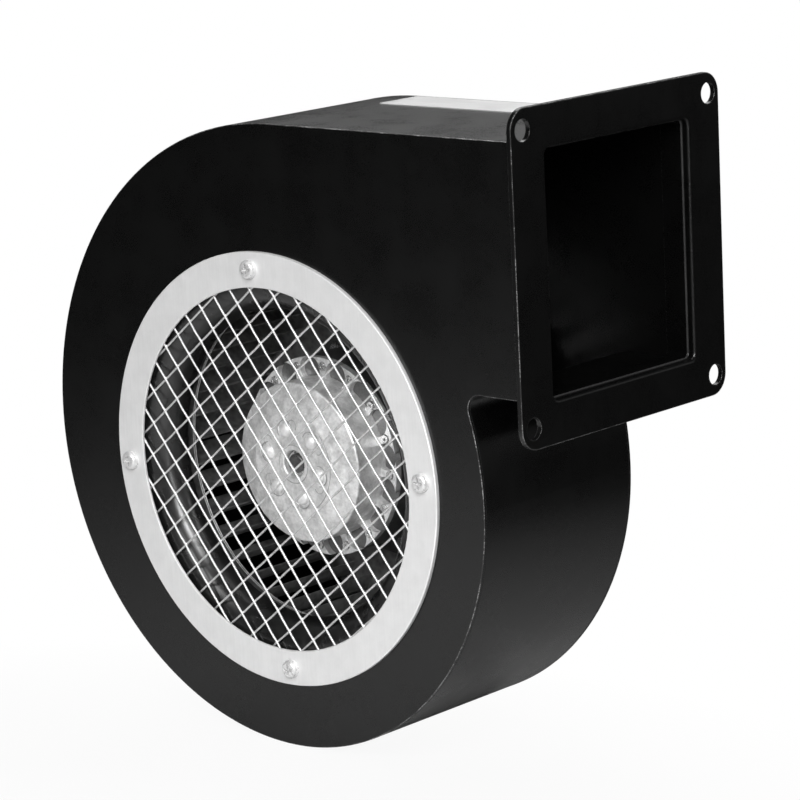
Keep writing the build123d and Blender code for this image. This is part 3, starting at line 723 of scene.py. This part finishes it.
# The end cap's pins, and the ridges that the casting has round them
PIN_COUNT = 6
PIN_TURN = 46.0
PIN_CIRCLE = 14.3
PIN_RADIUS = 3.1
PIN_HEIGHT = 2.0
PIN_FOOT_DEPTH = 12.0
PIN_SEGMENTS = 24
PIN_RINGS = 16
RIDGE_DEPTH = 11.56
RIDGE_RADIUS = 0.24
RIDGE_SIDES = 6
# A ridge's radius, with the angles that it starts and ends at, counted from its pin's own angle
LOBE_RADIUS = 4.3
LOBE_SPAN = (-75, 110)
# A smaller ridge beside the lobe, with its centre's angle and its distance from the axis
SIDE_LOBE_LAG = 17
SIDE_LOBE_CIRCLE = 16.2
SIDE_LOBE_RADIUS = 2.3
SIDE_LOBE_SPAN = (-150, 60)
# Ridges round the axis
OUTER_RIDGE_RADIUS = 20.6
OUTER_RIDGE_SPAN = (-58, 42)
RECESS_RIDGE_RADIUS = 8.0


def cap_pins():
    """Rounded, bright ends of the pins."""
    shape = bmesh.new()
    for index in range(PIN_COUNT):
        x, z = from_centre((0, 0), PIN_CIRCLE, PIN_TURN + index * 360 / PIN_COUNT)
        bmesh.ops.create_uvsphere(
            shape, u_segments=PIN_SEGMENTS, v_segments=PIN_RINGS, radius=1,
            matrix=flattened(from_axis(x, PIN_FOOT_DEPTH, z), PIN_RADIUS, PIN_HEIGHT),
        )
    finish_piece(shape, "cap_pin_domes", "rotor", "pin_aluminium")


def cap_ridges():
    """Thin cast ridges: two lobes beside each pin, and arcs round the whole group, in darker aluminium
    as painted shade at the casting's steps.
    """
    curves = []
    for index in range(PIN_COUNT):
        angle = PIN_TURN + index * 360 / PIN_COUNT
        for lag, circle, radius, (start, end) in (
            (0, PIN_CIRCLE, LOBE_RADIUS, LOBE_SPAN),
            (SIDE_LOBE_LAG, SIDE_LOBE_CIRCLE, SIDE_LOBE_RADIUS, SIDE_LOBE_SPAN),
        ):
            centre = from_centre((0, 0), circle, angle - lag)
            curves.append(arc_points(centre, radius, angle + start, angle + end))
    curves.append(arc_points((0, 0), OUTER_RIDGE_RADIUS, *OUTER_RIDGE_SPAN))
    curves.append(arc_points((0, 0), RECESS_RIDGE_RADIUS, *ROUND))
    shape = bmesh.new()
    for curve in curves:
        path = [from_axis(x, RIDGE_DEPTH, z) for x, z in curve]
        sweep(shape, path, RIDGE_RADIUS * MM, ALONG_Y, sides=RIDGE_SIDES)
    finish_piece(shape, "cap_ridges", "rotor", "ridge_shaded_aluminium")


# Edges of the hole in the wheel's front ring, painted lighter than the wheel as a highlight
WHEEL_HOLE_RADIUS = 67.3
WHEEL_RIM_DEPTHS = (20.0, 21.0)
WHEEL_RIM_RADIUS = 0.22


def wheel_rims():
    """A thin rim along each edge of the hole in the wheel's front ring, lighter than the wheel as a
    painted highlight.
    """
    shape = bmesh.new()
    for depth in WHEEL_RIM_DEPTHS:
        path = [from_axis(x, depth, z) for x, z in arc_points((0, 0), WHEEL_HOLE_RADIUS, *ROUND)]
        sweep(shape, path, WHEEL_RIM_RADIUS * MM, ALONG_Y, closed=True)
    finish_piece(shape, "wheel_rims", "rotor", "rim_highlight_steel")


# The flange's edge, and the folded bead inside its mouth, both painted lighter than the casing as
# highlights
FLANGE_CORNER = 8.5
FLANGE_EDGE_RADIUS = 0.24
NECK_BEAD_RADIUS = 0.5
NECK_BEAD_X = -3.6
NECK_CORNER = 2.4
NECK_FROM_SIDE = 19.5
NECK_FROM_TOP = 16.95


def rounded_frame(low, high, corner, x):
    """A closed rounded rectangle in the plane at x, between two (y, z) corners."""
    points = []
    for y, z, start in (
        (high[0] - corner, high[1] - corner, 0),
        (low[0] + corner, high[1] - corner, 90),
        (low[0] + corner, low[1] + corner, 180),
        (high[0] - corner, low[1] + corner, 270),
    ):
        points += [Vector((x, a, b)) for a, b in arc_points((y, z), corner, start, start + 90)]
    return points


def flange_trim():
    """The flange's outer front edge, and the glossy bead in its mouth, both with painted highlights.
    """
    low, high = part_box("outlet_flange")
    inset = FLANGE_EDGE_RADIUS * MM
    half_width = (high.y - low.y) / 2 - NECK_FROM_SIDE * MM
    half_height = (high.z - low.z) / 2 - NECK_FROM_TOP * MM
    edge_path = rounded_frame(
        (low.y + inset, low.z + inset), (high.y - inset, high.z - inset),
        FLANGE_CORNER * MM - inset, -inset,
    )
    neck_path = rounded_frame(
        (-half_width, -half_height), (half_width, half_height), NECK_CORNER * MM, NECK_BEAD_X * MM
    )
    for name, path, radius, finish in (
        ("flange_edge", edge_path, inset, "casing_edge"),
        ("neck_bead", neck_path, NECK_BEAD_RADIUS * MM, "neck_painted_highlight"),
    ):
        shape = bmesh.new()
        sweep(shape, path, radius, ALONG_X, closed=True)
        finish_piece(shape, name, "casing", finish)


for name, other_name in zip(MESH_LAYERS, reversed(MESH_LAYERS)):
    mesh_layer(name, other_name, random.Random(name))
mesh_welds()
casing_seams()
cap_pins()
cap_ridges()
wheel_rims()
flange_trim()


# Floor, lights and camera

WORLD_LEVEL = 0.04
FLOOR_SIZE = 12.0
# The floor has a painted pool of light: pale round a spot in front of the object, and dark away from
# it, where it would show in the paint. For the camera it gets whiter with the distance.
PAINTED_POOL_CENTRE = (AXIS_X + 0.07, -0.32, 0)
PAINTED_POOL_SPAN = (0.12, 0.66)
PAINTED_POOL_LEVELS = (0.88, 0.02)
WHITE_SPAN = (0.24, 0.42)
WHITE_SHARES = (0.90, 1.0)
# Each light's place, width, height and power
LIGHTS = {
    "key": ((1.05, -1.35, 0.95), 0.5, 1.2, 41),
    "front": ((-0.25, -1.9, 0.75), 0.7, 0.9, 11),
    "low_right": ((1.15, -1.35, -0.02), 0.12, 0.36, 2),
    "overhead": ((-0.1, 0.0, 1.5), 1.0, 1.0, 6),
    "behind_left": ((-1.0, 1.1, 1.1), 1.0, 1.0, 8),
    "behind_right": ((1.35, 1.5, 0.42), 1.6, 0.8, 1.6),
}


def area_light(name, place, width, height, power):
    """A soft light that faces the object's middle, and that the camera doesn't see."""
    aim = (cad_box[0] + cad_box[1]) / 2
    data = bpy.data.lights.new(name, "AREA")
    data.shape = "RECTANGLE"
    data.size = width
    data.size_y = height
    data.energy = power
    lamp = bpy.data.objects.new(name, data)
    lamp.location = place
    lamp.rotation_euler = (aim - Vector(place)).to_track_quat("-Z", "Y").to_euler()
    lamp.visible_camera = False
    bpy.context.collection.objects.link(lamp)


def make_world():
    """Even grey light, with white behind the object for the camera."""
    world = bpy.data.worlds.new("studio")
    world.use_nodes = True
    tree = world.node_tree
    background = tree.nodes["Background"]
    background.inputs["Color"].default_value = grey(WORLD_LEVEL)
    white = tree.nodes.new("ShaderNodeBackground")
    white.inputs["Color"].default_value = grey(1.0)
    path = tree.nodes.new("ShaderNodeLightPath")
    mix = tree.nodes.new("ShaderNodeMixShader")
    tree.links.new(path.outputs["Is Camera Ray"], mix.inputs["Fac"])
    tree.links.new(background.outputs["Background"], mix.inputs[1])
    tree.links.new(white.outputs["Background"], mix.inputs[2])
    tree.links.new(mix.outputs["Shader"], tree.nodes["World Output"].inputs["Surface"])
    bpy.context.scene.world = world


def make_floor():
    """A floor with a painted pool of light, that turns plain white for the camera away from the
    object's shadow.
    """
    bpy.ops.mesh.primitive_plane_add(size=FLOOR_SIZE, location=(0, 0, FLOOR_Z))
    floor = bpy.context.object
    floor.name = "floor"
    paper = Surface("floor_paper")
    glow = paper.node("ShaderNodeEmission")
    glow.inputs["Color"].default_value = grey(1.0)
    path = paper.node("ShaderNodeLightPath")
    length = paper.node("ShaderNodeVectorMath", operation="DISTANCE")
    paper.link(paper.place, length.inputs[0])
    length.inputs[1].default_value = PAINTED_POOL_CENTRE
    distance = length.outputs["Value"]
    # Painted pool of light: the floor's colour fades from pale to dark away from the spot
    paper.set(Base_Color=paper.shades(distance, *PAINTED_POOL_LEVELS, PAINTED_POOL_SPAN), Roughness=0.9)
    share = paper.vary(distance, *WHITE_SHARES, WHITE_SPAN)
    mix = paper.node("ShaderNodeMixShader")
    paper.link(paper.math("MULTIPLY", share, path.outputs["Is Camera Ray"]), mix.inputs["Fac"])
    paper.link(paper.shader.outputs["BSDF"], mix.inputs[1])
    paper.link(glow.outputs["Emission"], mix.inputs[2])
    paper.link(mix.outputs["Shader"], paper.tree.nodes["Material Output"].inputs["Surface"])
    floor.data.materials.append(paper.material)


CAMERA_AZIMUTH = math.radians(42.85)
CAMERA_ELEVATION = math.radians(12.23)
CAMERA_ROLL = math.radians(-2.81)
CAMERA_LENS = 150.446
CAMERA_CLIP = (0.01, 50)
CAMERA_DISTANCE = 1.358554
CAMERA_AIM = Vector((-0.114101, -0.005495, -0.067169))


def make_camera():
    """The camera stands where the photograph was taken from."""
    back = Vector((
        math.sin(CAMERA_AZIMUTH) * math.cos(CAMERA_ELEVATION),
        -math.cos(CAMERA_AZIMUTH) * math.cos(CAMERA_ELEVATION),
        math.sin(CAMERA_ELEVATION),
    ))
    level = Vector((math.cos(CAMERA_AZIMUTH), math.sin(CAMERA_AZIMUTH), 0))
    right = Matrix.Rotation(CAMERA_ROLL, 3, back) @ level
    up = back.cross(right)
    data = bpy.data.cameras.new("camera")
    data.lens = CAMERA_LENS
    data.clip_start, data.clip_end = CAMERA_CLIP
    camera = bpy.data.objects.new("camera", data)
    bpy.context.collection.objects.link(camera)
    turn = Matrix((right, up, back)).transposed().to_4x4()
    camera.matrix_world = Matrix.Translation(CAMERA_AIM + back * CAMERA_DISTANCE) @ turn
    bpy.context.scene.camera = camera


make_world()
make_floor()
for name, (place, width, height, power) in LIGHTS.items():
    area_light(name, place, width, height, power)
make_camera()
bpy.context.scene.view_settings.view_transform = "Standard"
